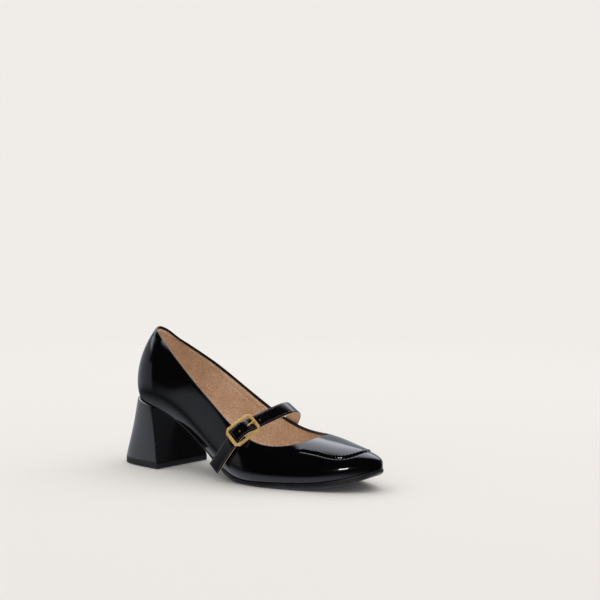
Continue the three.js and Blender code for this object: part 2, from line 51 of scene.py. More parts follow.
def splineThrough(xs, ys):
    # natural cubic: second derivatives solve a tridiagonal system, each span is a cubic between two rows
    xs, ys = np.array(xs, float), np.array(ys, float)
    step = np.diff(xs)
    inside = np.arange(1, len(xs) - 1)
    system = np.eye(len(xs))
    pull = np.zeros(len(xs))
    system[inside, inside - 1] = step[:-1]
    system[inside, inside] = 2 * (step[:-1] + step[1:])
    system[inside, inside + 1] = step[1:]
    slopes = np.diff(ys) / step
    pull[inside] = 6 * np.diff(slopes)
    bend = np.linalg.solve(system, pull)

    def curve(x):
        x = np.asarray(x, float)
        i = np.clip(np.searchsorted(xs, x) - 1, 0, len(xs) - 2)
        b = (x - xs[i]) / step[i]
        a = 1 - b
        cubic = ((a**3 - a) * bend[i] + (b**3 - b) * bend[i + 1]) * step[i]**2 / 6
        return a * ys[i] + b * ys[i + 1] + cubic

    return curve


def curvesThrough(columns, rows):
    # a spline for every column over the first one
    table = np.array(rows, float)
    return {name: splineThrough(table[:, 0], table[:, k]) for k, name in enumerate(columns) if k}


def smoothStep(low, high, x):
    # 0 below low, 1 above high, 3t^2 - 2t^3 between
    t = np.clip((x - low) / (high - low), 0, 1)
    return t * t * (3 - 2 * t)


def bellAt(x, middle, width):
    # a bell: e to the minus square of the distance over the width
    return np.exp(-((x - middle) / width)**2)


def unit(v):
    return v / np.maximum(np.linalg.norm(v, axis=-1, keepdims=True), 1e-12)


def runAlong(points):
    # length walked along a row of points
    return np.concatenate([[0], np.cumsum(np.linalg.norm(np.diff(points, axis=0), axis=1))])


def smoothLoop(values, times):
    # each value becomes half itself and a quarter of both neighbours, round a closed row
    for _ in range(times):
        values = (np.roll(values, 1, 0) + 2 * values + np.roll(values, -1, 0)) / 4
    return values


def smoothRow(values, times):
    # the same with both ends held
    for _ in range(times):
        values[1:-1] = (values[:-2] + 2 * values[1:-1] + values[2:]) / 4
    return values


def signedPower(wave, power):
    # a cosine or sine raised with its sign kept, which turns a circle into a superellipse
    return np.sign(wave) * np.abs(wave)**power


# the last

lastSizes = {
    "length": 240.0, "heelEnd": 30.0, "toeCentre": 192.5, "ridgeEase": 0.4,
    "throatStart": 109.5, "throatFront": 184.5,
    "heelRoundness": 2.1, "collarRoundness": 1.7, "toeRoundness": 2.4,
    "throatRoundness": 2.4, "sectionRoundness": 2.3, "collarTaperLevel": 0.6,
    "counterLean": 15.5, "counterTop": 115.0, "counterBulge": 1.4,
    "counterSwellPower": 2.2, "counterLeanPower": 2.0, "wall": 1.8,
}
lastColumns = ("x", "outerFoot", "innerFoot", "outerBulge", "innerBulge",
               "feather", "bulge", "ridge", "outerOpen", "innerOpen")
lastRows = [
    (0, 21.5, 23, 2.2, 2.2, 59, 12, 123, 25.6, 25.6),
    (10, 22.1, 23, 2.3, 2.3, 57.2, 14, 119.2, 22, 23.5),
    (28, 22.8, 22.8, 2.5, 2.8, 53, 17.2, 111.4, 20.6, 23.2),
    (44, 23.1, 22.1, 3.1, 3.9, 47.7, 18.1, 106.8, 37.2, 38.8),
    (60, 23.6, 21, 4, 5.5, 39.6, 18.5, 104.6, 52.6, 51),
    (95, 28.7, 20.2, 5.5, 8.5, 17.4, 17, 94, 63.6, 60.8),
    (125, 37.2, 27.4, 4.1, 6.3, 4.4, 12.8, 73.6, 64.6, 62),
    (150, 40.2, 34, 2.9, 3.2, 3.9, 8.6, 53.4, 67, 62),
    (175, 36.6, 36.2, 2.2, 1.9, 5.2, 6.8, 41.2, 68.5, 59.6),
    (200, 30, 30.5, 1.6, 1.4, 7.4, 6.2, 35.8, 64, 59),
    (222, 22.8, 22.8, 0.6, 0.6, 12.4, 5.2, 32.2, 60, 59),
    (240, 16, 16, 0, 0, 18, 3.8, 29, 60, 59),
]
lastCurves = curvesThrough(lastColumns, lastRows)
outerSide, innerSide = -1, 1


def quarter(share, roundness):
    # quarter superellipse: 1 at 0, 0 at 1
    return (1 - np.clip(share, 0, 1)**roundness)**(1 / roundness)


def wallPoint(x, side, level):
    # outside of the last: level -1 is the feather line, 0 the widest line, 1 the ridge; each section is a
    # superellipse, the outline closes at both ends by quarter superellipses, toe sections fan to the ridge
    s, c = lastSizes, lastCurves
    heel, toe, roundness = s["heelEnd"], s["toeCentre"], s["sectionRoundness"]
    x, level = np.broadcast_arrays(np.asarray(x, float), np.asarray(level, float))
    name = "outer" if side == outerSide else "inner"
    foot, bulge = c[name + "Foot"](x), c[name + "Bulge"](x)
    widest = c["feather"](x) + c["bulge"](x)
    ridge = c["ridge"](np.minimum(x, toe))
    slope = c["ridge"](toe + 0.5) - c["ridge"](toe - 0.5)    # over 1 mm
    turn = np.clip(level, 0, 1) * math.pi / 2
    inward = np.abs(np.cos(turn))**(2 / roundness)
    upward = np.sin(turn)**(2 / roundness)
    low = np.clip(-level, 0, 1)
    half = np.where(level < 0, foot + bulge * (1 - low**roundness), (foot + bulge) * inward)
    z = np.where(level < 0, widest - c["bulge"](x) * low, widest + (ridge - widest) * upward)
    seatWidest = c["feather"](0) + c["bulge"](0)
    below = np.clip((seatWidest - z) / c["bulge"](0), 0, 1)
    above = np.maximum(0, (z - seatWidest) / (s["counterTop"] - seatWidest))
    swell = s["counterBulge"] * (1 - below**s["counterSwellPower"])
    reach = (heel + swell - s["counterLean"] * above**s["counterLeanPower"]) / heel
    along = np.where(x < heel, heel - (heel - x) * reach, x)
    fan = toe + (x - toe) * np.where(level < 0, 1, inward)
    inToe = x > toe
    along = np.where(inToe, fan, along)
    run = along - toe
    eased = 1 - s["ridgeEase"] * run / (s["length"] - toe)
    z = np.where(inToe, z + slope * run * eased * upward, z)
    toCollar = np.clip(level / s["collarTaperLevel"], 0, 1)
    heelBend = s["heelRoundness"] + (s["collarRoundness"] - s["heelRoundness"]) * toCollar
    taper = quarter((x - toe) / (s["length"] - toe), s["toeRoundness"])
    taper = taper * quarter((heel - x) / heel, heelBend)
    return np.stack([along, side * half * taper, z], -1)


def collarLevel(x, side):
    # 1 less the opening over 90, which shuts towards the throat by a quarter superellipse
    s = lastSizes
    x = np.asarray(x, float)
    opening = lastCurves["outerOpen" if side == outerSide else "innerOpen"](x)
    shut = quarter((x - s["throatStart"]) / (s["throatFront"] - s["throatStart"]), s["throatRoundness"])
    return np.where(x >= s["throatFront"], 1, 1 - opening * shut / 90)


def stations(heelSteps, waistSteps, throatSteps, toeSteps):
    # closer together where the outline or the collar turns
    s = lastSizes
    heelTurn = np.arange(heelSteps) / heelSteps * math.pi / 2
    throatTurn = np.arange(throatSteps) / throatSteps * math.pi / 2
    toeTurn = np.arange(toeSteps + 1) / toeSteps * math.pi / 2
    return np.concatenate([
        s["heelEnd"] * (1 - np.cos(heelTurn)**(2 / s["heelRoundness"])),
        np.linspace(s["heelEnd"], s["throatStart"], waistSteps, endpoint=False),
        s["throatStart"] + (s["throatFront"] - s["throatStart"])
        * np.sin(throatTurn)**(2 / s["throatRoundness"]),
        [s["throatFront"]],
        s["toeCentre"] + (s["length"] - s["toeCentre"]) * np.sin(toeTurn)**(2 / s["toeRoundness"]),
    ])


def surfaceNormals(points, side):
    # cross product of the grid's two directions; level across the shoe where the two sides meet
    normal = unit(np.cross(np.gradient(points, axis=0), np.gradient(points, axis=1)) * -side)
    normal[0, :, 1] = 0
    normal[-1, :, 1] = 0
    return unit(normal)


# meshes

meshSizes = {"merge": 0.004, "collapse": 0.002}    # millimetres


def gridFaces(rows, columns, closedRows=False, closedColumns=False, flipped=False):
    # four-cornered faces between the neighbours of a grid
    i = np.arange(rows if closedRows else rows - 1)[:, None]
    j = np.arange(columns if closedColumns else columns - 1)[None]
    nextI, nextJ = (i + 1) % rows, (j + 1) % columns
    quads = [i * columns + j, nextI * columns + j, nextI * columns + nextJ, i * columns + nextJ]
    quads = np.stack(np.broadcast_arrays(*quads), -1).reshape(-1, 4)
    return quads[:, ::-1] if flipped else quads


def surface(grid, closedRows=False, closedColumns=False, flipped=False):
    return grid, gridFaces(*grid.shape[:2], closedRows, closedColumns, flipped)


def newObject(name, data):
    made = bpy.data.objects.new(name, data)
    bpy.context.scene.collection.objects.link(made)
    return made


def makeObject(name, parts, sharpAngle=45):
    # parts are (points, faces); doubles are merged, and the whole is turned outwards by its signed volume
    points = np.concatenate([np.asarray(p, float).reshape(-1, 3) for p, f in parts])
    starts = np.cumsum([0] + [np.asarray(p).size // 3 for p, f in parts])
    faces = np.concatenate([f + start for (p, f), start in zip(parts, starts)])
    mesh = bpy.data.meshes.new(name)
    mesh.from_pydata(((points - (originX, 0, 0)) * millimetre).tolist(), [], faces.tolist())
    work = bmesh.new()
    work.from_mesh(mesh)
    bmesh.ops.remove_doubles(work, verts=work.verts, dist=meshSizes["merge"] * millimetre)
    bmesh.ops.dissolve_degenerate(work, edges=work.edges, dist=meshSizes["collapse"] * millimetre)
    if work.calc_volume(signed=True) < 0:
        bmesh.ops.reverse_faces(work, faces=work.faces)
    work.to_mesh(mesh)
    work.free()
    mesh.shade_smooth()
    mesh.set_sharp_from_angle(angle=math.radians(sharpAngle))
    return newObject(name, mesh)


def addPiece(piece, finish, node):
    # its finish, and the CAD node it stands for
    piece.data.materials.clear()
    piece.data.materials.append(finish)
    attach(piece, "root")
    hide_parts(node)
    print("piece", piece.name, len(piece.data.polygons), "faces")


def cappedTube(grid):
    # rings of points joined into a tube, fanned to the middle of the ring at both ends
    parts = [surface(grid, False, True)]
    for ring, flipped in ((grid[0], True), (grid[-1], False)):
        fan = np.stack([ring, np.broadcast_to(ring.mean(0), ring.shape)])
        parts.append(surface(fan, False, True, flipped))
    return parts


def roundedRectangle(width, height, corner, crown, steps=4, crownSteps=8):
    # four quarter circles joined; the upper side may swell by the crown
    turn = math.pi / 2 * (np.arange(4)[:, None] + np.arange(steps + 1) / steps)
    signs = np.array([(1, 1), (-1, 1), (-1, -1), (1, -1)])[:, None]
    middle = signs * (width / 2 - corner, height / 2 - corner)
    ring = (middle + corner * np.stack([np.cos(turn), np.sin(turn)], -1)).reshape(-1, 2)
    share = np.linspace(1, -1, crownSteps + 1)[1:-1]
    top = np.stack([(width / 2 - corner) * share, height / 2 + crown * (1 - share**2)], 1)
    return np.concatenate([ring[:steps + 1], top, ring[steps + 1:]])


stitchShape = {"around": 6, "lengthwise": 7, "taper": 3.5, "thinnest": 0.02, "dive": 1.4}


def stitchRow(points, along, out, length, radius, sink):
    # short capsules lying along a row: a bent rod whose ends thin out and dive into the leather
    s = stitchShape
    around = np.linspace(0, 2 * math.pi, s["around"] + 1)[:-1]
    lengthwise = np.linspace(-1, 1, s["lengthwise"])
    across = unit(np.cross(along, out))
    thin = np.sqrt(np.clip(1 - np.abs(lengthwise)**s["taper"], s["thinnest"], 1))
    centre = (points[:, None]
              + along[:, None] * (lengthwise * length / 2)[None, :, None]
              - out[:, None] * (radius * (sink + s["dive"] * lengthwise**4))[None, :, None])
    ring = (across[:, None, None] * np.cos(around)[None, None, :, None]
            + out[:, None, None] * np.sin(around)[None, None, :, None])
    grid = centre[:, :, None] + ring * (radius * thin)[None, :, None, None]
    grid = grid.reshape(len(points), -1, 3)
    one = gridFaces(len(lengthwise), len(around), False, True)
    ends = np.array([[0, 1, 2, 3], [0, 3, 4, 5]])    # two faces close a six-sided end
    last = (len(lengthwise) - 1) * len(around)
    one = np.concatenate([one, ends[:, ::-1], ends + last])
    faces = one[None] + (np.arange(len(points)) * grid.shape[1])[:, None, None]
    return [(grid, faces.reshape(-1, 4))]


# finishes


class Signal:
    # a node's output that takes part in sums

    def __init__(self, finish, socket):
        self.finish = finish
        self.socket = socket

    def math(self, operation, other=0.0, flipped=False):
        first, second = (other, self) if flipped else (self, other)
        return self.finish.node("ShaderNodeMath", {"operation": operation}, {0: first, 1: second})

    def __add__(self, other):
        return self.math("ADD", other)

    def __sub__(self, other):
        return self.math("SUBTRACT", other)

    def __rsub__(self, other):
        return self.math("SUBTRACT", other, True)

    def __mul__(self, other):
        return self.math("MULTIPLY", other)

    __radd__ = __add__
    __rmul__ = __mul__

    def between(self, low, high):
        settings = {"interpolation_type": "SMOOTHSTEP"}
        return self.finish.node("ShaderNodeMapRange", settings, {"Value": self, "From Min": low, "From Max": high})


class Finish:
    # a node tree being filled: node() adds any node, its settings first, then its sockets

    def __init__(self, owner):
        owner.use_nodes = True
        self.tree = owner.node_tree
        self.tree.nodes.clear()

    def node(self, kind, settings=None, sockets=None, output=0):
        node = self.tree.nodes.new(kind)
        for key, value in (settings or {}).items():
            setattr(node, key, value)
        for key, value in (sockets or {}).items():
            if isinstance(value, Signal):
                self.tree.links.new(value.socket, node.inputs[key])
            else:
                node.inputs[key].default_value = value
        return Signal(self, node.outputs[output]) if len(node.outputs) else node

    def coordinates(self, scale=(1, 1, 1), turn=(0, 0, 0)):
        place = self.node("ShaderNodeTexCoord", output="Object")
        return self.node("ShaderNodeMapping", None, {"Vector": place, "Scale": scale, "Rotation": turn})

    def noise(self, sizes, vector=None):
        vector = vector or self.coordinates()
        scale, detail, roughness = sizes
        sockets = {"Vector": vector, "Scale": scale, "Detail": detail, "Roughness": roughness}
        return self.node("ShaderNodeTexNoise", None, sockets, "Fac")

    def cells(self, scale):
        sockets = {"Vector": self.coordinates(), "Scale": scale}
        return self.node("ShaderNodeTexVoronoi", None, sockets, "Distance")

    def blend(self, share, first, second):
        settings = {"data_type": "RGBA"}
        return self.node("ShaderNodeMix", settings, {0: share, 6: (*first, 1), 7: (*second, 1)}, 2)

    def bump(self, height, distance, strength=1.0, normal=None):
        sockets = {"Height": height, "Distance": distance, "Strength": strength}
        if normal:
            sockets["Normal"] = normal
        return self.node("ShaderNodeBump", None, sockets)


def makeFinish(name, fill):
    material = bpy.data.materials.new(name)
    finish = Finish(material)
    shader = finish.node("ShaderNodeBsdfPrincipled", None, fill(finish))
    finish.node("ShaderNodeOutputMaterial", None, {"Surface": shader})
    return material


patentSizes = {
    "colour": (0.0015, 0.0015, 0.002), "worn": (0.008, 0.008, 0.01), "roughness": 0.2,
    "rippleNoise": (70.0, 2.0, 0.5), "ripple": 0.00006, "swellNoise": (18.0, 1.0, 0.4), "swell": 0.00035,
    "scuffNoise": (260.0, 4.0, 0.6), "scuffStretch": (1, 0.25, 1), "scuffTurn": (0, 0, 0.5),
    "scuffRange": (0.62, 0.8), "scuffColour": 0.5, "scuffRoughness": 0.1, "shine": 0.05, "lacquer": 0.02,
    "heelShine": 1.0, "heelRoughness": 0.28,
}


def fillPatent(finish):
    # black dye under a thick clear lacquer: slow waves, a fine ripple, faint scuffs in the roughness
    s = patentSizes
    swell = finish.noise(s["swellNoise"])
    ripple = finish.noise(s["rippleNoise"])
    stretched = finish.coordinates(s["scuffStretch"], s["scuffTurn"])
    scuffs = finish.noise(s["scuffNoise"], stretched).between(*s["scuffRange"])
    waves = finish.bump(ripple, s["ripple"], 1.0, finish.bump(swell, s["swell"]))
    return {
        "Base Color": finish.blend(scuffs * s["scuffColour"], s["colour"], s["worn"]),
        "Roughness": scuffs * s["scuffRoughness"] + s["roughness"],
        "IOR": 1.5,
        "Coat Weight": 1.0,
        "Coat Roughness": s["lacquer"],
        "Coat IOR": 1.5,
        "Specular IOR Level": s["shine"],
        "Normal": waves,
    }


def fillHeelCover(finish):
    # the same leather with a stronger, softer shine, stretched over the block
    values = fillPatent(finish)
    values["Specular IOR Level"] = patentSizes["heelShine"]
    values["Roughness"] = patentSizes["heelRoughness"]
    return values


liningSizes = {
    "light": (0.95, 0.725, 0.54), "dark": (0.58, 0.39, 0.255), "nap": 0.00012,
    "speckleNoise": (1000.0, 2.0, 0.6), "poreScale": 1500.0, "blotchNoise": (55.0, 3.0, 0.55),
    "speckle": 1.5, "blotch": 0.5, "toneRange": (0.2, 0.8),
}


def fillLining(finish):
    # brushed tan leather: fine speckle, darker pores, slow blotches
    s = liningSizes
    speckle = finish.noise(s["speckleNoise"])
    pores = finish.cells(s["poreScale"])
    blotch = finish.noise(s["blotchNoise"])
    tone = speckle * s["speckle"] + blotch * s["blotch"] - 0.5
    return {
        "Base Color": finish.blend(tone.between(*s["toneRange"]), s["dark"], s["light"]),
        "Roughness": 0.85,
        "Specular IOR Level": 0.25,
        "Sheen Weight": 0.25,
        "Sheen Roughness": 0.5,
        "Normal": finish.bump(speckle * 0.7 + pores * 0.5, s["nap"], 0.8),
    }


rubberSizes = {
    "dark": (0.009, 0.009, 0.010), "light": (0.022, 0.022, 0.024), "pit": 0.00007,
    "dustNoise": (90.0, 5.0, 0.65), "pitScale": 900.0, "dustRange": (0.4, 0.75),
    "roughness": 0.3, "dustRoughness": 0.25,
}


def fillRubber(finish):
    # moulded rubber: matt skin with pits, dusty where it rubs
    s = rubberSizes
    dust = finish.noise(s["dustNoise"])
    pits = finish.cells(s["pitScale"])
    return {
        "Base Color": finish.blend(dust.between(*s["dustRange"]), s["dark"], s["light"]),
        "Roughness": dust * s["dustRoughness"] + s["roughness"],
        "Normal": finish.bump(pits + dust * 0.6, s["pit"], 0.7),
    }


brassSizes = {
    "light": (0.97, 0.64, 0.24), "dark": (0.74, 0.46, 0.15), "metallic": 0.45, "roughness": 0.3,
    "brush": 0.000004, "brushNoise": (5200.0, 2.0, 0.5), "brushStretch": (1.0, 0.08, 1.0), "brushTurn": (0.7, 0, 0),
    "brushRoughness": 0.1, "patchNoise": (150.0, 3.0, 0.5), "patchRange": (0.35, 0.8),
}


def fillBrass(finish):
    # satin plating: fine brush lines along the strap, a little tarnish in slow patches
    s = brassSizes
    lines = finish.noise(s["brushNoise"], finish.coordinates(s["brushStretch"], s["brushTurn"]))
    patches = finish.noise(s["patchNoise"])
    return {
        "Base Color": finish.blend(patches.between(*s["patchRange"]), s["light"], s["dark"]),
        "Metallic": s["metallic"],
        "Roughness": lines * s["brushRoughness"] + s["roughness"],
        "Normal": finish.bump(lines, s["brush"], 0.6),
    }


# the grey pair is the same black thread lightened: a painted glint on the stitches
threadSizes = {
    "black": ((0.004, 0.004, 0.005), (0.012, 0.012, 0.014)), "paintedGlintGrey": ((0.10, 0.10, 0.11), (0.30, 0.30, 0.32)),
    "strandNoise": (3000.0, 2.0, 0.5), "strand": 0.00005,
}


def fillThread(finish, tone):
    # waxed thread: twisted strands, a soft shine; the grey tone is the black thread lightened as a painted glint
    s = threadSizes
    dark, light = s[tone]
    strands = finish.noise(s["strandNoise"])
    return {
        "Base Color": finish.blend(strands.between(0.3, 0.7), dark, light),
        "Roughness": 0.4,
        "Sheen Weight": 0.3,
        "Normal": finish.bump(strands, s["strand"], 0.8),
    }


patent = makeFinish("patentBlack", fillPatent)
heelPatent = makeFinish("heelPatent", fillHeelCover)
lining = makeFinish("liningTan", fillLining)
rubber = makeFinish("soleRubber", fillRubber)
brass = makeFinish("buckleBrass", fillBrass)
blackThread = makeFinish("blackThread", lambda finish: fillThread(finish, "black"))
# lighter copy of the black thread, a painted glint, for the lower seam row and the strap's stitches
paintedGlintThread = makeFinish("paintedGlintThread", lambda finish: fillThread(finish, "paintedGlintGrey"))
print("finishes made")

# collar

collarSizes = {
    "steps": (60, 90, 110), "radius": 0.95, "beadPoints": 13, "reach": 6.0, "softening": 3,
    "legs": ((-2.1, -2.1), (-1.7, -2.35), (-1.3, -2.1), (-0.5, -1.65), (-0.12, -1.55)),    # (outwards, up)
}


def edgeFrames(side, xs):
    # the collar's edge with its outward normal, from small steps of the wall around it
    level = collarLevel(xs, side)
    smallLevel, smallX = 0.01, 0.03
    x = np.clip(xs, 0.05, None)    # clear of the back seam, where the wall turns square
    point = wallPoint(xs, side, level)
    down = wallPoint(x, side, level) - wallPoint(x, side, level - smallLevel)
    ahead = wallPoint(x + smallX, side, level) - wallPoint(x - smallX, side, level)
    return point, unit(np.cross(ahead, down) * -side)


def makeCollarCurve():
    # outer side from the back to the throat, inner side back again
    s = lastSizes
    heelSteps, waistSteps, throatSteps = collarSizes["steps"]
    xs = stations(heelSteps, waistSteps, throatSteps, 2)
    xs = xs[xs <= s["throatFront"]]
    outerPoint, outerNormal = edgeFrames(outerSide, xs)
    innerPoint, innerNormal = edgeFrames(innerSide, xs)
    point = np.concatenate([outerPoint, innerPoint[-2:0:-1]])
    normal = np.concatenate([outerNormal, innerNormal[-2:0:-1]])
    normal[0, 1] = 0
    normal[len(xs) - 1, 1] = 0
    normal = unit(smoothLoop(normal, collarSizes["softening"]))
    along = unit(np.roll(point, -1, 0) - np.roll(point, 1, 0))
    up = unit(np.cross(normal, along))
    return point, unit(np.cross(along, up)), up


collarPoint, collarNormal, collarUp = makeCollarCurve()


def nearest(points, curve, chunk=4000):
    # index of and distance to the nearest point of a curve
    flat = points.reshape(-1, 3)
    index = np.zeros(len(flat), int)
    for start in range(0, len(flat), chunk):
        part = flat[start:start + chunk]
        index[start:start + chunk] = ((part[:, None] - curve[None])**2).sum(-1).argmin(1)
    distance = np.linalg.norm(flat - curve[index], axis=1)
    return index.reshape(points.shape[:-1]), distance.reshape(points.shape[:-1])


def lowerEdge(points, drop):
    # draws the wall back from the collar's edge by drop, fading out over a few millimetres
    index, distance = nearest(points, collarPoint)
    fade = 1 - smoothStep(0, collarSizes["reach"], distance)
    return points - collarUp[index] * (drop * fade)[..., None]


def makeTopline():
    # the patent leather folded over the edge: a bead with a leg on the outside and a longer one inside,
    # its profile (a, b) carried round the collar: edge + a * outward normal + b * up
    s = collarSizes
    turn = np.linspace(0, math.pi, s["beadPoints"])
    bead = s["radius"] * np.stack([np.cos(turn), np.sin(turn)], 1) - (lastSizes["wall"] / 2, s["radius"])
    profile = np.concatenate([bead, s["legs"]])[None]
    grid = collarPoint[:, None] + profile[..., :1] * collarNormal[:, None] + profile[..., 1:] * collarUp[:, None]
    return makeObject("topline", [surface(grid, True, True)])


# upper

apronColumns = ("x", "outer", "inner")
apronRows = [
    (172, 0.45, 0.46), (188, 0.475, 0.47), (196, 0.475, 0.455), (206, 0.43, 0.42),
    (216, 0.39, 0.385), (224, 0.405, 0.39), (232, 0.475, 0.44), (240, 0.545, 0.545),
]
apronCurves = curvesThrough(apronColumns, apronRows)
apronSizes = {
    "start": 177.0, "full": 190.0, "crest": 0.5, "crestWidth": 0.8, "crease": 0.6, "creaseAt": 1.5,
    "creaseWidth": 0.6, "lift": 0.8, "stitchPitch": 2.9, "stitchLength": 1.8, "stitchRadius": 0.3,
    "upperRow": -1.2, "lowerRow": 2.2, "pucker": 0.3, "stitchLift": 0.12, "stitchSink": 0.35,
    "crestAt": -0.1, "plateauEdge": (-1.5, 1), "plateauWidth": 16,
    "bend": 232, "longSteps": 260, "frontSteps": 70, "frontPower": 1.6, "softening": 30, "points": 700,
    "fadeLimit": 0.45, "probeSteps": (4, 4, 40, 80), "probeLevels": (4, 60), "probeSoftening": 40,
}
upperSizes = {"steps": (40, 60, 70, 84), "lowSteps": 16, "highSteps": 56, "skin": 0.9}


def makeApronPath():
    # the seam's line on the last, from the outer throat round the toe to the inner throat
    s = apronSizes
    front = (1 - np.linspace(0, 1, s["frontSteps"]))**s["frontPower"]
    xs = np.concatenate([np.linspace(s["start"], s["bend"], s["longSteps"], endpoint=False),
                         lastSizes["length"] - (lastSizes["length"] - s["bend"]) * front])
    outer = wallPoint(xs, outerSide, apronCurves["outer"](xs))
    inner = wallPoint(xs, innerSide, apronCurves["inner"](xs))
    path = smoothRow(np.concatenate([outer, inner[-2::-1]]), s["softening"])
    run = runAlong(path)
    even = np.linspace(0, run[-1], s["points"])
    path = np.stack([np.interp(even, run, path[:, k]) for k in range(3)], 1)
    return path, even


apronPath, apronRun = makeApronPath()


def apronHeight(distance, run, fade):
    # cross-section of the seam: raised plateau, rolled crest puckered by its stitches, crease below it
    s = apronSizes
    pucker = 1 + s["pucker"] * np.cos(2 * math.pi * run / s["stitchPitch"])
    crest = s["crest"] * pucker * bellAt(distance, s["crestAt"], s["crestWidth"])
    crease = s["crease"] * bellAt(distance, s["creaseAt"], s["creaseWidth"])
    plateau = s["lift"] * (1 - smoothStep(*s["plateauEdge"], distance))
    plateau = plateau * bellAt(np.minimum(distance, 0), 0, s["plateauWidth"])
    return (crest - crease + plateau) * fade


def apronFade(x):
    # 0 at the throat, where the seam starts, 1 from where it is full
    return smoothStep(apronSizes["start"], apronSizes["full"], x)


def raiseApron(points, normals, xs, levels, side):
    # lifts the grid along its normals by the seam's cross-section
    path = apronCurves["outer" if side == outerSide else "inner"](xs)[:, None]
    ahead = xs > apronSizes["start"]
    index, distance = nearest(points[ahead], apronPath)
    signed = np.where(levels[ahead] < path[ahead], distance, -distance)
    fade = apronFade(apronPath[index][..., 0])
    points = points.copy()
    points[ahead] += normals[ahead] * apronHeight(signed, apronRun[index], fade)[..., None]
    return points


def sideLevels(xs, side, lowSteps, highSteps):
    # even steps from the feather line to the widest line, then on to the collar
    low = np.linspace(-1, 0, lowSteps, endpoint=False)
    high = np.linspace(0, 1, highSteps + 1)
    return np.concatenate([np.broadcast_to(low, (len(xs), lowSteps)),
                           collarLevel(xs, side)[:, None] * high], 1)


def shell(outside, inside, side, xs):
    # two matching grids closed along the feather line and along the collar
    flip = side == innerSide
    feather = np.stack([outside[:, 0], inside[:, 0]], 1)
    openRows = xs <= lastSizes["throatFront"]
    collar = np.stack([outside[openRows, -1], inside[openRows, -1]], 1)
    return [surface(outside, flipped=flip), surface(inside, flipped=not flip),
            surface(feather, flipped=not flip), surface(collar, flipped=flip)]


def insideOf(points, normals, depth, side):
    # moved inwards by depth, level at the feather line, never past the shoe's middle
    normals = normals.copy()
    normals[:, 0, 2] = 0
    moved = points - unit(normals) * depth[..., None]
    moved[..., 1] = side * np.maximum(side * moved[..., 1], 0)
    moved[0, :, 1] = 0
    moved[-1, :, 1] = 0
    return moved


def wallGrid(side, steps, lowSteps, highSteps):
    # one side of the last as a grid, with its outward normals
    xs = stations(*steps)
    levels = sideLevels(xs, side, lowSteps, highSteps)
    points = wallPoint(xs[:, None], side, levels)
    normals = surfaceNormals(points, side)
    closed = xs >= lastSizes["throatFront"]
    normals[closed, -1, 1] = 0
    return xs, levels, points, unit(normals)


def makeUpperSkin():
    # outer half of the wall: its edge drawn back under the bead, the seam raised on it
    s = upperSizes
    parts = []
    for side in (outerSide, innerSide):
        xs, levels, points, normals = wallGrid(side, s["steps"], s["lowSteps"], s["highSteps"])
        low = lowerEdge(points, collarSizes["radius"])
        outside = raiseApron(low, normals, xs, levels, side)
        inside = insideOf(low, normals, np.full(points.shape[:2], s["skin"]), side)
        parts += shell(outside, inside, side, xs)
    return makeObject("upperSkin", parts, 60)


liningShape = {
    "steps": (70, 130, 50, 40), "lowSteps": 10, "highSteps": 72, "drop": 1.5,
    "bandDepth": 8.0, "bandPad": 0.7, "bandSeam": 0.55, "gripX": (36.0, 39.0), "gripSeam": 0.55,
    "bandWidth": 0.8, "gripWidth": 0.7, "footLift": 0.8, "bandEnd": (95, 130), "bandPower": 0.7,
    "gripSlant": 0.05, "behindSkin": 0.03,
}


def makeUpperLining():
    # inner half of the wall: a padded band under the collar, ended by a seam, and two seams of the heel grip
    s = liningShape
    parts = []
    for side in (outerSide, innerSide):
        xs, levels, points, normals = wallGrid(side, s["steps"], s["lowSteps"], s["highSteps"])
        low = lowerEdge(points, s["drop"])
        low[:, 0] += (low[:, 1] - low[:, 0]) * s["footLift"]    # stays above the skin's lower edge
        _, distance = nearest(points, collarPoint)
        rear = 1 - smoothStep(*s["bandEnd"], xs)[:, None]
        band = np.sin(math.pi * np.clip(distance / s["bandDepth"], 0, 1))**s["bandPower"] * s["bandPad"] * rear
        seam = s["bandSeam"] * bellAt(distance, s["bandDepth"], s["bandWidth"]) * rear
        slanted = xs[:, None] - s["gripSlant"] * distance
        grip = sum(bellAt(slanted, x, s["gripWidth"]) for x in s["gripX"]) * s["gripSeam"]
        depth = lastSizes["wall"] + band - seam - grip
        outside = insideOf(low, normals, np.full(depth.shape, upperSizes["skin"] + s["behindSkin"]), side)
        inside = insideOf(low, normals, depth, side)
        parts += shell(outside, inside, side, xs)
    return makeObject("upperLining", parts, 60)


def makeApronStitches(name, row):
    # a row of short stitches beside the seam's line, lying on its raised section
    s = apronSizes
    count = int(apronRun[-1] / s["stitchPitch"])
    middle = (np.arange(count) + 0.5) * s["stitchPitch"]
    index = np.searchsorted(apronRun, middle)
    index = index[apronFade(apronPath[index, 0]) > s["fadeLimit"]]
    along = unit(np.gradient(apronPath, axis=0))[index]
    points = apronPath[index]
    normal = apronNormals[index]
    below = unit(np.cross(normal, along))
    below = np.where(below[:, 2:] > 0, -below, below)
    height = apronHeight(np.full(len(index), row), apronRun[index], apronFade(points[:, 0]))
    # the wall curves away from its tangent by the square of the distance over twice its radius, 20
    centre = points + below * row + normal * (height + s["stitchLift"] - row**2 / 40)[:, None]
    rods = stitchRow(centre, along, normal, s["stitchLength"], s["stitchRadius"], s["stitchSink"])
    return makeObject(name, rods)


def apronSurfaceNormals():
    # outward normal of the last at each point of the seam, taken from a wall grid
    s = apronSizes
    grids = [wallGrid(side, s["probeSteps"], *s["probeLevels"]) for side in (outerSide, innerSide)]
    points = np.concatenate([grid[2].reshape(-1, 3) for grid in grids])
    normals = np.concatenate([grid[3].reshape(-1, 3) for grid in grids])
    index, _ = nearest(apronPath, points, 50)
    return unit(smoothRow(normals[index], s["probeSoftening"]))


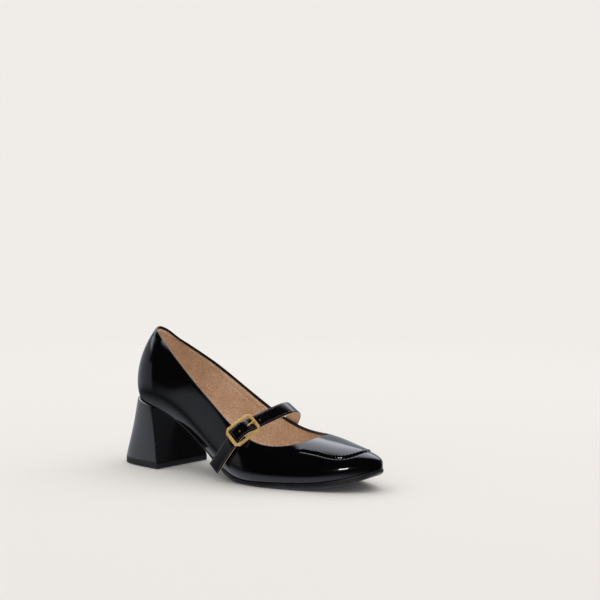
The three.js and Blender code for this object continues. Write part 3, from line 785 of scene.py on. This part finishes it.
apronNormals = apronSurfaceNormals()
addPiece(makeUpperSkin(), patent, "upper")
addPiece(makeTopline(), patent, "upper")
addPiece(makeUpperLining(), lining, "upper")
addPiece(makeApronStitches("apronUpperStitches", apronSizes["upperRow"]), blackThread, "upper")
# the lower row in the lighter copy of the thread: a painted glint
addPiece(makeApronStitches("apronLowerStitches", apronSizes["lowerRow"]), paintedGlintThread, "upper")

# sole and insole

soleColumns = ("x", "proud", "thickness")
soleRows = [
    (0, -1.2, 1), (34, -1.2, 1.1), (50, -1.2, 2), (85, -0.8, 2.6),
    (115, 0.7, 3.3), (150, 0.8, 3.8), (200, 0.8, 4.6), (222, 0.8, 5.4),
    (232, 0.7, 4.8), (240, 0.6, 2.8),
]
soleCurves = curvesThrough(soleColumns, soleRows)
soleSizes = {
    "steps": (60, 70, 80, 70), "gap": 0.3, "bevel": 0.45, "groove": 0.35, "grooveFrom": (60, 110),
    "closings": (0.0, 0.3, 0.6, 0.85), "bevelShare": 0.3,
    # up the edge: (rise in thicknesses, rise in bevels, inset, inset in bevels, inset in grooves)
    "edge": ((0, 0, 0.25, 1, 0), (0, 0.3, 0.15, 0.35, 0), (0, 1, 0.1, 0, 0), (0.45, 0, 0, 0, 0),
             (0.58, 0, 0, 0, 0), (0.62, 0, 0, 0, 0.8), (0.66, 0, 0, 0, 1), (0.7, 0, 0, 0, 0.8),
             (0.74, 0, 0, 0, 0), (0.86, 0, 0.02, 0, 0), (0.95, 0, 0, 0.35, 0), (1, 0, 0, 1, 0)),
    "sockEdge": ((0.8, 0.1), (1.7, 0.25), (2.2, 0.45), (2.5, 0.85), (2.6, 1.5)),    # (height, inset)
}


def outlineLoop(xs, level, proud):
    # the last's outline at a level, outer side to the toe and inner side back, moved outwards by proud
    outer = wallPoint(xs, outerSide, level)
    inner = wallPoint(xs, innerSide, level)
    loop = np.concatenate([outer, inner[-2:0:-1]])
    along = np.roll(loop, -1, 0) - np.roll(loop, 1, 0)
    normal = unit(np.stack([along[:, 1], -along[:, 0], np.zeros(len(loop))], 1))
    moved = loop + normal * np.concatenate([proud, proud[-2:0:-1]])[:, None]
    moved[[0, len(xs) - 1], 1] = 0
    return moved


def makeSlab(name, xs, rows, closings):
    # rings from the middle of the underside, out round the edge and in to the middle of the top;
    # a row is (level, proud, height), each an array along the outline
    rings = []
    both = lambda values: np.concatenate([values, values[-2:0:-1]])
    for level, proud, height in rows:
        ring = outlineLoop(xs, level, proud)
        ring[:, 2] = both(height)
        rings.append(ring)

    def inward(ring, share):
        mirror = np.concatenate([ring[:1], ring[:0:-1]])
        middle = (ring + mirror) / 2
        return middle + (ring - middle) * share

    under = [inward(rings[0], share) for share in closings]
    over = [inward(rings[-1], share) for share in closings[::-1]]
    grid = np.stack(under + rings + over)
    return makeObject(name, [surface(grid, False, True)], 50)


def makeSole():
    # its edge stands proud of the last, rounded below and grooved halfway up
    s = soleSizes
    xs = stations(*s["steps"])
    proud = soleCurves["proud"](xs)
    top = lastCurves["feather"](xs) - s["gap"]
    bottom = np.maximum(0, top - soleCurves["thickness"](xs))
    level = np.full(len(xs), -1.0)
    thick = top - bottom
    bevel = np.minimum(s["bevel"], thick * s["bevelShare"])
    groove = s["groove"] * smoothStep(*s["grooveFrom"], xs)
    rows = []
    for share, rise, inset, inBevels, inGrooves in s["edge"]:
        rows.append((level, proud - inBevels * bevel - inset - inGrooves * groove,
                     bottom + rise * bevel + thick * share))
    return makeSlab("sole", xs, rows, (*s["closings"], 0.97))


def makeSock():
    # the footbed's cover: its edge rises along the wall and rounds over, its top is flat across
    s = soleSizes
    xs = stations(*s["steps"])
    c = lastCurves
    feather = c["feather"](xs)
    inset = lastSizes["wall"] + 2 * s["gap"]
    low = np.full(len(xs), -1.0)
    rise = c["bulge"](xs)
    rows = [(low, np.full(len(xs), -inset), feather)]
    for height, more in s["sockEdge"]:
        rows.append((height / rise - 1, np.full(len(xs), -inset - more), feather + height))
    return makeSlab("sock", xs, rows, (*s["closings"], 0.96))


addPiece(makeSole(), rubber, "outsole")
addPiece(makeSock(), lining, "insole")

# heel

heelSeat = {"breastX": 28.4, "middleY": 0.3, "turn": -2.5, "halfWidth": 23.4, "depth": 29.4, "roundness": 2.2}
heelFloor = {"breastX": 41.8, "middleY": 0.0, "turn": -7.6, "halfWidth": 29.8, "depth": 53.0, "roundness": 3.6}
heelSizes = {
    "topPiece": 5.0, "gap": 0.3, "seatGap": 1.7, "rows": 46, "softening": 5, "points": 420, "waist": 0.5,
    "arcPoints": 401, "breastPoints": 119, "span": (0.01, 0.985),
    # edges as (inset, rise from the lower face) and (inset, drop from the upper face)
    "blockLow": ((1.2, 0), (0.25, 0), (0.06, 0.12)), "blockHigh": ((0.1, 0.25), (0.5, 0.02), (2.0, 0)),
    "pieceLow": ((1.0, 0), (0.25, 0), (0.05, 0.25), (0, 0.6), (0, 2.4)),
    "pieceHigh": ((0, 0.5), (0.06, 0.2), (0.3, 0), (1.2, 0)),
}


def heelRing(plan):
    # D in plan: a superellipse back from one end of the straight breast to the other
    turn = math.radians(plan["turn"])
    angle = np.linspace(-0.5, 0.5, heelSizes["arcPoints"]) * math.pi
    across = signedPower(np.sin(angle), 2 / plan["roundness"]) * plan["halfWidth"]
    back = np.clip(np.cos(angle), 0, None)**(2 / plan["roundness"]) * plan["depth"]
    breast = np.linspace(1, -1, heelSizes["breastPoints"] + 2)[1:-1] * plan["halfWidth"]
    across = np.concatenate([across, breast])
    back = np.concatenate([back, np.zeros(len(breast))])
    x = plan["breastX"] - back * math.cos(turn) - across * math.sin(turn)
    y = plan["middleY"] - back * math.sin(turn) + across * math.cos(turn)
    ring = np.stack([x, y], 1)
    closed = np.concatenate([ring, ring[:1]])
    run = runAlong(closed)
    even = np.linspace(0, run[-1], heelSizes["points"], endpoint=False)
    even = even + run[len(angle) - 1] % (run[-1] / heelSizes["points"])
    ring = np.stack([np.interp(even, run, closed[:, k], period=run[-1]) for k in range(2)], 1)
    return smoothLoop(ring, heelSizes["softening"])


def insetRing(ring, amount):
    # every point moved in, square to the ring
    along = unit(np.roll(ring, -1, 0) - np.roll(ring, 1, 0))
    middle = ring.mean(0)
    normal = np.stack([along[:, 1], -along[:, 0]], 1)
    facing = np.sign(((ring - middle) * normal).sum(1).sum())
    return ring - facing * normal * amount


def stackRings(name, rings):
    # closed stack: rings of (x, y, z), drawn in to their middles at both ends
    ends = [np.broadcast_to(ring.mean(0), ring.shape) for ring in (rings[0], rings[-1])]
    grid = np.stack([ends[0], *rings, ends[1]])
    return makeObject(name, [surface(grid, False, True)], 50)


def makeHeel():
    # the D on the floor runs straight to the smaller D at the seat, drawn in a little halfway up
    s = heelSizes
    low, high = heelRing(heelFloor), heelRing(heelSeat)
    lowZ = s["topPiece"] + s["gap"] / 2
    highZ = lastCurves["feather"](np.clip(high[:, 0], 0, None)) - s["seatGap"]
    rings = []
    for inset, lift in s["blockLow"]:
        rings.append(np.column_stack([insetRing(low, inset), np.full(len(low), lowZ + lift)]))
    for share in np.linspace(*s["span"], s["rows"]):
        flat = low + (high - low) * share
        flat = insetRing(flat, s["waist"] * math.sin(math.pi * share)**2)
        rings.append(np.column_stack([flat, lowZ + (highZ - lowZ) * share]))
    for inset, drop in s["blockHigh"]:
        rings.append(np.column_stack([insetRing(high, inset), highZ - drop]))
    return stackRings("heelCover", rings)


def makeTopPiece():
    # the D on the floor carried straight up, both its edges rounded
    s = heelSizes
    ring = heelRing(heelFloor)
    top = s["topPiece"] - s["gap"] / 2
    steps = [*s["pieceLow"], *((inset, top - drop) for inset, drop in s["pieceHigh"])]
    rings = [np.column_stack([insetRing(ring, inset), np.full(len(ring), z)]) for inset, z in steps]
    return stackRings("topPiece", rings)


addPiece(makeHeel(), heelPatent, "heel_block")
addPiece(makeTopPiece(), rubber, "heel_top_piece")

# strap

strapSizes = {
    "middleX": 142.6, "middleZ": 54.0, "lean": 39.0, "width": 11.7, "thickness": 1.8,
    "skin": 1.05, "holeRadius": 1.0, "holeSpacing": 7.5, "prongRun": 50.5,
    "stitchInset": 1.35, "stitchPitch": 2.1, "stitchLength": 1.35, "stitchRadius": 0.17, "stitchSink": 0.2,
    "stitchLift": 0.1, "endMargin": 2.0, "stations": 420, "skinCorner": 0.35, "crown": 0.12,
    "backNarrower": 0.12, "backCorner": 0.15, "backTrim": 0.1, "holeSteps": (-1, 1, 2), "cutDepth": 4,
}
# free end on the outer side, through the buckle, over the instep, down the inner side: (across, rise)
strapRows = [
    (-41.5, -56), (-42.8, -44), (-43.8, -34), (-44.3, -26), (-44.3, -21), (-44.4, -17.4), (-43.3, -13.8),
    (-40.9, -10.7), (-37.1, -9.1), (-33.2, -8.5), (-29.7, -7.6), (-26, -6), (-16, -2.8), (-1, 1.7),
    (14.5, 3), (25, -2), (30.5, -9.5), (34, -20), (34.5, -34), (32.8, -48), (31, -54),
]
twistRows = [(-60, -0.12), (-28, -0.12), (0, 0.02), (26, 0.18), (60, 0.18)]    # (across, twist)


def fromStrapPlane(across, rise, side):
    # the strap's plane leans back from the instep; side is the way to the toe in it
    lean = math.radians(strapSizes["lean"])
    twist = np.interp(across, *np.array(twistRows, float).T)
    x = strapSizes["middleX"] + rise * math.sin(lean) + side * math.cos(lean)
    z = strapSizes["middleZ"] + rise * math.cos(lean) - side * math.sin(lean)
    return np.stack(np.broadcast_arrays(x, across + twist * side, z), -1)


def makeMiddleLine(rows):
    # splines over the length walked; at() gives a place and the normal there
    rows = np.array(rows, float)
    run = runAlong(rows)
    across, rise = splineThrough(run, rows[:, 0]), splineThrough(run, rows[:, 1])

    def at(place):
        small = 0.01
        alongAcross = across(place + small) - across(place - small)
        alongRise = rise(place + small) - rise(place - small)
        size = np.hypot(alongAcross, alongRise)
        return across(place), rise(place), -alongRise / size, alongAcross / size

    return at, run[-1]


strapAt, strapLength = makeMiddleLine(strapRows)


def strapPoint(run, off, side):
    # a point of the band: off its middle line by off, to the side by side
    across, rise, normalAcross, normalRise = strapAt(run)
    return fromStrapPlane(across + off * normalAcross, rise + off * normalRise, side)


def makeStrapLayer(name, width, low, high, corner, crown, trim):
    # a rounded rectangle from low to high off the middle line, carried along it
    run = np.linspace(trim, strapLength - trim, strapSizes["stations"])
    section = roundedRectangle(width, high - low, corner, crown)
    off = section[:, 1] + (low + high) / 2
    grid = strapPoint(run[:, None], off[None], section[None, :, 0])
    return makeObject(name, cappedTube(grid), 50)


def cutAway(piece, cutters):
    # boolean cuts, applied at once
    for cutter in cutters:
        modifier = piece.modifiers.new("cut", "BOOLEAN")
        modifier.operation = "DIFFERENCE"
        modifier.solver = "EXACT"
        modifier.object = cutter
    bpy.context.view_layer.update()
    evaluated = piece.evaluated_get(bpy.context.evaluated_depsgraph_get())
    mesh = bpy.data.meshes.new_from_object(evaluated)
    piece.modifiers.clear()
    piece.data = mesh
    mesh.name = piece.name
    mesh.set_sharp_from_angle(angle=math.radians(50))


def makeTube(name, path, radius, sideways, sides=20):
    # a round tube along a path: circles square to it
    along = unit(np.gradient(path, axis=0))
    second = unit(np.cross(along, sideways))
    turn = np.linspace(0, 2 * math.pi, sides, endpoint=False)
    radius = np.broadcast_to(radius, len(path))
    ring = (sideways[None, None] * np.cos(turn)[None, :, None] + second[:, None] * np.sin(turn)[None, :, None])
    grid = path[:, None] + ring * radius[:, None, None]
    return makeObject(name, cappedTube(grid), 50)


# buckle

buckleSizes = {
    "across": -38.6, "rise": -13.0, "tilt": 46.0, "length": 26.3, "width": 19.0, "corner": 3.3,
    "holeCorner": 0.8, "rim": 2.6, "thickness": 1.8, "barRadius": 0.8, "prongRadius": 0.7, "gap": 0.3,
    "rimPower": 0.42, "rimPoints": 32, "barEnd": 0.6, "wrap": (-50, -270), "wrapGap": 0.12, "wrapThickness": 0.8,
    "wrapRadius": 0.82, "shortOfEnd": 0.5, "restLift": 0.9, "restGap": 0.05, "arch": 0.15, "taper": 0.25,
    "points": 40, "tipPower": 24, "tipThinnest": 0.02, "cutStart": 1.6, "cutRise": 0.02,
}


def fromBuckle(along, out, side):
    # the buckle's own axes: along the strap, out of the frame, towards the toe
    tilt = math.radians(buckleSizes["tilt"])
    across = buckleSizes["across"] + along * math.sin(tilt) - out * math.cos(tilt)
    rise = buckleSizes["rise"] + along * math.cos(tilt) + out * math.sin(tilt)
    return fromStrapPlane(across, rise, side)


def cornerCutLoop(length, width, corner, steps=24, softening=3):
    # eight straight runs of the same number of points, their corners softened
    a, b = length / 2, width / 2
    corners = np.array([(-a + corner, -b), (a - corner, -b), (a, -b + corner), (a, b - corner)])
    corners = np.concatenate([corners, -corners])
    share = (np.arange(steps) / steps)[None, :, None]
    loop = corners[:, None] * (1 - share) + np.roll(corners, -1, 0)[:, None] * share
    return smoothLoop(loop.reshape(-1, 2), softening)


def makeFrame():
    # rim between two eight-sided loops, its section a rectangle with rounded edges
    s = buckleSizes
    outer = cornerCutLoop(s["length"], s["width"], s["corner"])
    inner = cornerCutLoop(s["length"] - 2 * s["rim"], s["width"] - 2 * s["rim"], s["holeCorner"])
    turn = np.linspace(0, 2 * math.pi, s["rimPoints"], endpoint=False)
    inwards = (1 - signedPower(np.cos(turn), s["rimPower"])[:, None]) / 2
    out = signedPower(np.sin(turn), s["rimPower"]) * s["thickness"] / 2
    flat = outer[:, None] * (1 - inwards) + inner[:, None] * inwards
    grid = fromBuckle(flat[..., 0], out, flat[..., 1])
    return makeObject("buckleFrame", [surface(grid, True, True)], 35)


def makeBar():
    # straight rod across the frame
    s = buckleSizes
    side = np.linspace(-1, 1, 12) * (s["width"] / 2 - s["rim"] * s["barEnd"])    # its ends inside the rim
    path = fromBuckle(0, 0, side)
    sideways = unit(fromBuckle(1, 0, 0) - fromBuckle(0, 0, 0))
    return makeTube("buckleBar", path, s["barRadius"], sideways)


def makeProng():
    # wraps the bar, then runs out over the frame, thinner and rounded at its end
    s = buckleSizes
    wrap = np.radians(np.linspace(*s["wrap"], s["points"]))
    ringRadius = s["barRadius"] + s["wrapGap"] + s["prongRadius"] * s["wrapThickness"]
    reach = s["length"] / 2 - s["shortOfEnd"]
    share = np.linspace(0, 1, s["points"])[1:]
    along = np.concatenate([ringRadius * np.cos(wrap), reach * share])
    rest = s["thickness"] / 2 + s["prongRadius"] * s["restLift"] + s["restGap"]
    straight = ringRadius + (rest - ringRadius) * share
    out = np.concatenate([ringRadius * np.sin(wrap), straight + s["arch"] * np.sin(math.pi * share)])
    rounded = np.sqrt(np.clip(1 - share**s["tipPower"], s["tipThinnest"], 1))
    radius = s["prongRadius"] * np.concatenate([np.full(len(wrap), s["wrapRadius"]),
                                                (1 - s["taper"] * share) * rounded])
    path = fromBuckle(along, out, 0)
    sideways = unit(fromBuckle(0, 0, 1) - fromBuckle(0, 0, 0))
    return makeTube("buckleProng", path, radius, sideways)


def makeHoleCutters():
    # rods through the strap: its holes on either side of the prong's, and room for the prong itself
    s = strapSizes
    cutters = []
    off = np.linspace(-1, 1, 3) * s["cutDepth"]
    for step in s["holeSteps"]:
        run = s["prongRun"] + step * s["holeSpacing"]
        path = strapPoint(run, off, 0.0)
        sideways = unit(strapPoint(run, 0, 1.0) - strapPoint(run, 0, 0.0))
        cutters.append(makeTube(f"holeCutter{step}", path, s["holeRadius"], sideways, 24))
    b = buckleSizes
    along = np.linspace(0, b["length"] / 2, 8)
    path = fromBuckle(along, b["cutStart"] + b["cutRise"] * along, 0)
    sideways = unit(fromBuckle(0, 0, 1) - fromBuckle(0, 0, 0))
    cutters.append(makeTube("prongCutter", path, b["prongRadius"] + b["gap"], sideways, 24))
    return cutters


def makeStrap():
    # two layers that meet at the skin's depth, cut by the same rods
    s = strapSizes
    half = s["thickness"] / 2
    split = half - s["skin"]
    cutters = makeHoleCutters()
    skin = makeStrapLayer("strapSkin", s["width"], split, half, s["skinCorner"], s["crown"], 0.0)
    backWidth = s["width"] - s["backNarrower"]
    back = makeStrapLayer("strapBacking", backWidth, -half, split, s["backCorner"], 0.0, s["backTrim"])
    for layer in (skin, back):
        cutAway(layer, cutters)
    for cutter in cutters:
        bpy.data.objects.remove(cutter)
    return skin, back


def makeStrapStitches():
    # a row along each edge
    s = strapSizes
    run = np.arange(s["endMargin"], strapLength - s["endMargin"], s["stitchPitch"])
    parts = []
    for side in (-1, 1):
        place = side * (s["width"] / 2 - s["stitchInset"])
        top = s["thickness"] / 2 + s["stitchLift"]
        points = strapPoint(run, top, place)
        along = unit(strapPoint(run + 0.3, top, place) - strapPoint(run - 0.3, top, place))
        out = unit(strapPoint(run, top + 1, place) - points)
        parts += stitchRow(points, along, out, s["stitchLength"], s["stitchRadius"], s["stitchSink"])
    return makeObject("strapStitches", parts)


strapSkin, strapBacking = makeStrap()
addPiece(strapSkin, patent, "strap")
addPiece(strapBacking, lining, "strap")
# the strap's stitches in the lighter copy of the thread: a painted glint
addPiece(makeStrapStitches(), paintedGlintThread, "strap")
addPiece(makeFrame(), brass, "buckle_frame")
addPiece(makeBar(), brass, "buckle_frame")
addPiece(makeProng(), brass, "buckle_prong")

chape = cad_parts["buckle_chape"]
chape.data.materials.clear()
chape.data.materials.append(patent)

# studio

studioSizes = {
    "target": (0.14749, 0.0, 0.14737), "azimuth": 34.04, "elevation": 4.67, "distance": 1.2, "lens": 89.28,
    "floorRings": (0.0, 0.3, 1.0, 3.0, 9.0), "floorPlace": (0.1, 0, -0.0002), "floorFade": (0.55, 1.2),
    "floorColour": (0.83, 0.803, 0.768), "pale": (0.871, 0.843, 0.806), "evenLight": 0.6,
    "keyPower": 100.0, "keySize": 6.0, "keyPlace": (-0.4, 1.4, 3.0),
    "toePower": 0.8, "toeSize": 0.1, "toePlace": (0.63, -0.78, 0.07), "toeAim": (0.205, -0.02, 0.018),
}
glowSizes = {
    "bright": (-0.8, 0.6, 0), "colour": (0.87, 0.9, 1.0), "dark": 0.008,
    "wallLow": 0.4, "wallHigh": 2.2, "wallRise": (0.35, 0.55), "wallEdge": (0.25, 0.5),
    "wallTop": (0.6, 1.0), "topReach": 0.2,
    "side": 0.42, "sideEdge": (0.12, 0.22), "sideHeight": (0.16, 0.27),
    "floor": 0.75, "floorDepth": (0.2, 0.6), "horizon": (-0.3, -0.1),
}


def makeCamera():
    # off its target by the distance, turned by azimuth and elevation
    s = studioSizes
    azimuth, elevation = math.radians(s["azimuth"]), math.radians(s["elevation"])
    back = np.array([math.sin(azimuth) * math.cos(elevation), -math.cos(azimuth) * math.cos(elevation),
                     math.sin(elevation)])
    data = bpy.data.cameras.new("camera")
    data.lens = s["lens"]
    data.sensor_width = 36
    data.clip_end = 50
    camera = newObject("camera", data)
    camera.location = np.array(s["target"]) + back * s["distance"]
    camera.rotation_euler = (math.pi / 2 - elevation, 0, azimuth)
    bpy.context.scene.camera = camera


def makeFloor():
    # a flat disc: rings of points round the middle
    s = studioSizes
    radius = np.array(s["floorRings"])
    turn = np.linspace(0, 2 * math.pi, 64, endpoint=False)
    points = np.stack(np.broadcast_arrays(radius[:, None] * np.cos(turn), radius[:, None] * np.sin(turn),
                                          0 * turn), -1)
    mesh = bpy.data.meshes.new("floor")
    faces = gridFaces(len(radius), len(turn), False, True)
    mesh.from_pydata(points.reshape(-1, 3).tolist(), [], faces.tolist())
    floor = newObject("floor", mesh)
    floor.location = s["floorPlace"]
    floor.visible_glossy = False    # the world stands in for it in reflections

    def fillFloor(finish):
        # matt paper that fades into the backdrop away from the shoe
        place = finish.node("ShaderNodeTexCoord", output="Object")
        away = finish.node("ShaderNodeVectorMath", {"operation": "LENGTH"}, {0: place}, "Value")
        return {"Base Color": (*s["floorColour"], 1), "Roughness": 0.9, "Specular IOR Level": 0.0,
                "Alpha": 1 - away.between(*s["floorFade"])}

    mesh.materials.append(makeFinish("paleFloor", fillFloor))


def makeWorld():
    # even white light, and a pale backdrop for the camera; shiny pieces mirror a wall that is bright on one
    # side and brighter high up, a fainter glow low down beside it, a pale floor, and darkness in front
    s = glowSizes
    world = bpy.data.worlds.new("studio")
    bpy.context.scene.world = world
    sky = Finish(world)
    direction = sky.node("ShaderNodeTexCoord", output="Generated")
    dot = {"operation": "DOT_PRODUCT"}
    ahead = sky.node("ShaderNodeVectorMath", dot, {0: direction, 1: s["bright"]}, "Value")
    height = sky.node("ShaderNodeVectorMath", dot, {0: direction, 1: (0, 0, 1)}, "Value")
    wallEdge = (ahead + height.between(*s["wallTop"]) * s["topReach"]).between(*s["wallEdge"])
    wallGlow = wallEdge * (height.between(*s["wallRise"]) * s["wallHigh"] + s["wallLow"])
    sideGlow = ahead.between(*s["sideEdge"]) * (1 - height.between(*s["sideHeight"])) * s["side"]
    above = height.between(*s["horizon"])
    floorGlow = (0 - height).between(*s["floorDepth"]) * s["floor"]
    glow = sky.node("ShaderNodeMath", {"operation": "MAXIMUM"}, {0: wallGlow, 1: sideGlow}) * above + floorGlow
    glossy = sky.node("ShaderNodeLightPath", output="Is Glossy Ray")
    direct = sky.node("ShaderNodeLightPath", output="Is Camera Ray")
    kinds = []
    for colour, strength in (((1, 1, 1), studioSizes["evenLight"]), (studioSizes["pale"], 1.0),
                             (s["colour"], glow + s["dark"])):
        kinds.append(sky.node("ShaderNodeBackground", None, {"Color": (*colour, 1), "Strength": strength}))
    even, backdrop, mirrored = kinds
    mixed = sky.node("ShaderNodeMixShader", None, {0: glossy, 1: even, 2: mirrored})
    mixed = sky.node("ShaderNodeMixShader", None, {0: direct, 1: mixed, 2: backdrop})
    sky.node("ShaderNodeOutputWorld", None, {"Surface": mixed})


def makeLamp(name, size, power, place):
    data = bpy.data.lights.new(name, "AREA")
    data.size = size
    data.energy = power
    lamp = newObject(name, data)
    lamp.location = place
    return lamp


def makeLamps():
    # a broad light straight down from above, which shiny pieces don't mirror, and a small square lamp
    # turned to the toe that only shows as one glint on its wall
    s = studioSizes
    makeLamp("keyLight", s["keySize"], s["keyPower"], s["keyPlace"]).visible_glossy = False
    lamp = makeLamp("toeLamp", s["toeSize"], s["toePower"], s["toePlace"])
    lamp.visible_diffuse = False
    away = np.array(s["toeAim"]) - s["toePlace"]
    lamp.rotation_euler = (math.atan2(math.hypot(away[0], away[1]), -away[2]), 0,
                           math.atan2(away[1], away[0]) - math.pi / 2)


makeCamera()
makeFloor()
makeWorld()
makeLamps()
bpy.context.scene.view_settings.view_transform = "Standard"
print("studio made")
